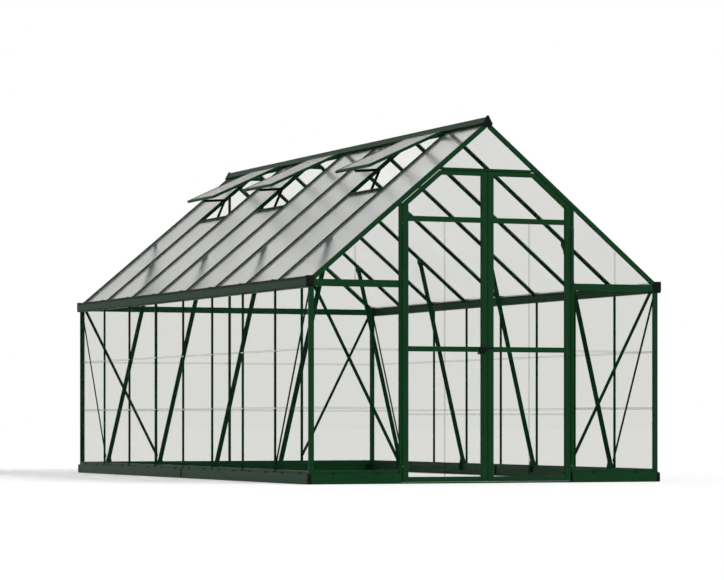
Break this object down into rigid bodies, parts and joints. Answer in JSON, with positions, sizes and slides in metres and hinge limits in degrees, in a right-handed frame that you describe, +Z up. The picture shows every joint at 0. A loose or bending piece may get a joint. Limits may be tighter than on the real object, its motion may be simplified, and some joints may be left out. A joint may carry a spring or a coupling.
{
  "type": "polycarbonate greenhouse",
  "caption": "Gabled polycarbonate greenhouse on a base frame, with clear walls, a twin-wall roof, hinged double doors, gutters, inner braces and hinged roof vents on elbow stays.",
  "frame": {"origin": "middle of the ground plan, on the ground under the base rails", "axes": "+X to the right as seen from in front of the doors, +Y to the back gable, +Z up; the doors are at the -Y end and the vents on the -X slope"},
  "size_m": [2.5022, 4.9621, 2.3582],
  "materials": {
    "green_frame": "dark green powder coat, satin",
    "black_plastic": "moulded, fine satin grain",
    "black_metal": "black paint, satin",
    "clear_sheet": "clear solid sheet, polished",
    "roof_sheet": "translucent twin-wall sheet",
    "pin_steel": "plain steel"
  },
  "bodies": {
    "frame": {"base_side_rails": "green_frame", "base_end_rails": "green_frame", "base_corner_caps": "black_plastic", "base_splices": "green_frame", "base_clips": "black_plastic", "door_threshold": "green_frame", "corner_posts": "green_frame", "side_mullions": "green_frame", "back_mullions": "green_frame", "door_jambs": "green_frame", "gable_ties": "green_frame", "door_header": "green_frame", "gutter_left": "green_frame", "gutter_right": "green_frame", "gutter_end_caps": "black_plastic", "eave_seals": "black_plastic", "gable_rafters": "green_frame", "roof_bars_left": "green_frame", "roof_bars_right": "green_frame", "roof_bar_clips": "black_plastic", "ridge_profile": "green_frame", "ridge_end_caps": "black_plastic", "ridge_gussets": "green_frame", "wall_braces": "green_frame", "brace_brackets": "green_frame", "wall_diagonals": "green_frame", "wall_sheets_left": "clear_sheet", "wall_sheets_right": "clear_sheet", "wall_sheets_back": "clear_sheet", "wall_sheets_front": "clear_sheet", "gable_sheets_front": "clear_sheet", "gable_sheets_back": "clear_sheet", "roof_sheets_left": "roof_sheet", "roof_sheets_right": "roof_sheet", "sheet_joiners": "clear_sheet", "vent_sills": "green_frame", "jamb_hinges": "green_frame", "hinge_pins": "pin_steel"},
    "left_door": {"left_door_frame": "green_frame", "left_door_sheets": "clear_sheet", "left_door_hinge": "green_frame", "latch_case": "black_plastic"},
    "right_door": {"right_door_frame": "green_frame", "right_door_sheets": "clear_sheet", "right_door_hinge": "green_frame", "latch_keeper": "black_plastic"},
    "handle": {"door_levers": "black_plastic"},
    "latch_bolt": {"latch_bolt": "pin_steel"},
    "vent_1": {"vent_1_frame": "green_frame", "vent_1_sheet": "roof_sheet"},
    "vent_1_lower_arm": {"vent_1_lower_arm": "black_metal"},
    "vent_1_upper_arm": {"vent_1_upper_arm": "black_metal"},
    "vent_2": {"vent_2_frame": "green_frame", "vent_2_sheet": "roof_sheet"},
    "vent_2_lower_arm": {"vent_2_lower_arm": "black_metal"},
    "vent_2_upper_arm": {"vent_2_upper_arm": "black_metal"},
    "vent_3": {"vent_3_frame": "green_frame", "vent_3_sheet": "roof_sheet"},
    "vent_3_lower_arm": {"vent_3_lower_arm": "black_metal"},
    "vent_3_upper_arm": {"vent_3_upper_arm": "black_metal"}
  },
  "joints": [
    {"name": "left_door_hinge", "type": "hinge", "parent": "frame", "child": "left_door", "pos_m": [-0.59475, -2.4575, 0.88], "axis": [0, 0, -1], "range_deg": [0, 110]},
    {"name": "right_door_hinge", "type": "hinge", "parent": "frame", "child": "right_door", "pos_m": [0.59475, -2.4575, 0.88], "axis": [0, 0, 1], "range_deg": [0, 110]},
    {"name": "handle_turn", "type": "hinge", "parent": "left_door", "child": "handle", "pos_m": [-0.022, -2.4405, 0.857], "axis": [0, -1, 0], "range_deg": [0, 90]},
    {"name": "bolt_slide", "type": "slide", "parent": "left_door", "child": "latch_bolt", "axis": [1, 0, 0], "range_m": [0, 0.01]},
    {"name": "vent_1_hinge", "type": "hinge", "parent": "frame", "child": "vent_1", "pos_m": [-0.02877, 1.525, 2.30931], "axis": [0, 1, 0], "range_deg": [-15.5, 2.5]},
    {"name": "vent_1_stay_foot", "type": "hinge", "parent": "frame", "child": "vent_1_lower_arm", "pos_m": [-0.43535, 1.522, 1.91332], "axis": [0, 1, 0], "range_deg": [-3.3, 20.3]},
    {"name": "vent_1_stay_elbow", "type": "hinge", "parent": "vent_1_lower_arm", "child": "vent_1_upper_arm", "pos_m": [-0.36846, 1.528, 2.06743], "axis": [0, 1, 0], "range_deg": [-56, 9.1]},
    {"name": "vent_2_hinge", "type": "hinge", "parent": "frame", "child": "vent_2", "pos_m": [-0.02877, 0.305, 2.30931], "axis": [0, 1, 0], "range_deg": [-15.5, 2.5]},
    {"name": "vent_2_stay_foot", "type": "hinge", "parent": "frame", "child": "vent_2_lower_arm", "pos_m": [-0.43535, 0.302, 1.91332], "axis": [0, 1, 0], "range_deg": [-3.3, 20.3]},
    {"name": "vent_2_stay_elbow", "type": "hinge", "parent": "vent_2_lower_arm", "child": "vent_2_upper_arm", "pos_m": [-0.36846, 0.308, 2.06743], "axis": [0, 1, 0], "range_deg": [-56, 9.1]},
    {"name": "vent_3_hinge", "type": "hinge", "parent": "frame", "child": "vent_3", "pos_m": [-0.02877, -1.525, 2.30931], "axis": [0, 1, 0], "range_deg": [-15.5, 2.5]},
    {"name": "vent_3_stay_foot", "type": "hinge", "parent": "frame", "child": "vent_3_lower_arm", "pos_m": [-0.43535, -1.528, 1.91332], "axis": [0, 1, 0], "range_deg": [-3.3, 20.3]},
    {"name": "vent_3_stay_elbow", "type": "hinge", "parent": "vent_3_lower_arm", "child": "vent_3_upper_arm", "pos_m": [-0.36846, -1.522, 2.06743], "axis": [0, 1, 0], "range_deg": [-56, 9.1]}
  ],
  "couplings": [
    {"joint": "bolt_slide", "follows": "handle_turn", "m_per_rad": 0.0063661},
    {"joint": "vent_1_stay_foot", "follows": "vent_1_hinge", "ratio": -1.3085},
    {"joint": "vent_1_stay_elbow", "follows": "vent_1_hinge", "ratio": 3.6093},
    {"joint": "vent_2_stay_foot", "follows": "vent_2_hinge", "ratio": -1.3085},
    {"joint": "vent_2_stay_elbow", "follows": "vent_2_hinge", "ratio": 3.6093},
    {"joint": "vent_3_stay_foot", "follows": "vent_3_hinge", "ratio": -1.3085},
    {"joint": "vent_3_stay_elbow", "follows": "vent_3_hinge", "ratio": 3.6093}
  ]
}
